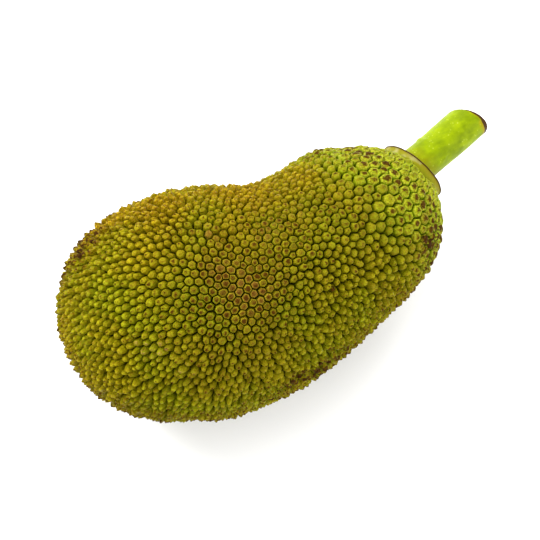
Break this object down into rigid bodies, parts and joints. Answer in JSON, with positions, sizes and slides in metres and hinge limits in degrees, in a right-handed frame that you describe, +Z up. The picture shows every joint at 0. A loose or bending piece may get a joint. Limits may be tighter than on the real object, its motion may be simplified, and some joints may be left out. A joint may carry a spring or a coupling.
{
  "type": "jackfruit",
  "caption": "Whole ripe-green jackfruit lying on its side: a pear-like body with a spiny rind, a smooth collar and a stout cut stem.",
  "frame": {"origin": "middle of the bounding box, on the surface the fruit rests on", "axes": "+X along the fruit from its blossom end to its stem, +Y to the side its hollow bend faces, +Z up as it lies"},
  "size_m": [0.4416, 0.2152, 0.2018],
  "materials": {
    "rind": "hard yellow-green rind of blunt spines with brown tips",
    "collar": "smooth pale green skin with a thin brown rim",
    "stalk": "smooth lime-green living bark with pale specks, cut end dried brown"
  },
  "bodies": {
    "root": {"fruit": "rind", "collar": "collar", "stem": "stalk"}
  },
  "joints": []
}
